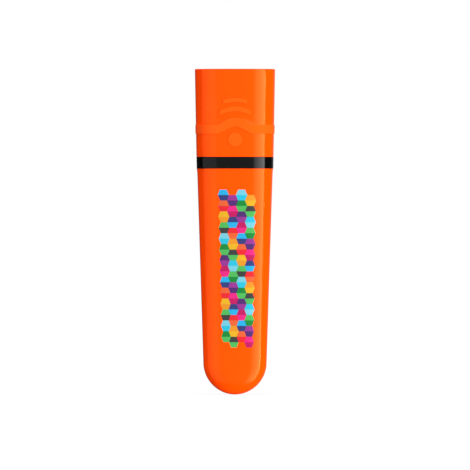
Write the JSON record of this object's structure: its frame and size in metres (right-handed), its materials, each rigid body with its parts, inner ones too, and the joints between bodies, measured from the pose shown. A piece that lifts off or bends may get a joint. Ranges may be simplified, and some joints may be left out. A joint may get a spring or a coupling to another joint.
{
  "type": "highlighter pen",
  "caption": "Flat, tapered plastic highlighter with a pull-off cap that has raised thumb marks, a round fibre nib held in a black flared section, and an ink reservoir inside.",
  "frame": {"origin": "lowest point of the rounded tail, on the pen's long axis", "axes": "+Z along the pen from the tail to the top of the cap, +X across its width, +Y through its depth; the main face, with the print, looks along -Y"},
  "size_m": [0.03, 0.017, 0.122],
  "materials": {
    "orange_plastic": "glossy, solid orange; the barrel's main face carries a printed pattern",
    "black_plastic": "glossy black",
    "nib_fibre": "dense bonded fibre soaked with ink, ground to a blunt cone",
    "reservoir_fibre": "soft lengthwise fibre soaked with ink",
    "clear_film": "thin clear film",
    "natural_plastic": "milky uncoloured polypropylene"
  },
  "bodies": {
    "pen": {"barrel": "orange_plastic", "section": "black_plastic", "nib": "nib_fibre", "reservoir_core": "reservoir_fibre", "reservoir_film": "clear_film", "breather_tube": "natural_plastic"},
    "cap": {"cap_shell": "orange_plastic", "inner_cap": "natural_plastic"}
  },
  "joints": [
    {"name": "cap_pull", "type": "slide", "parent": "pen", "child": "cap", "axis": [0, 0, 1], "range_m": [0, 0.045]}
  ]
}
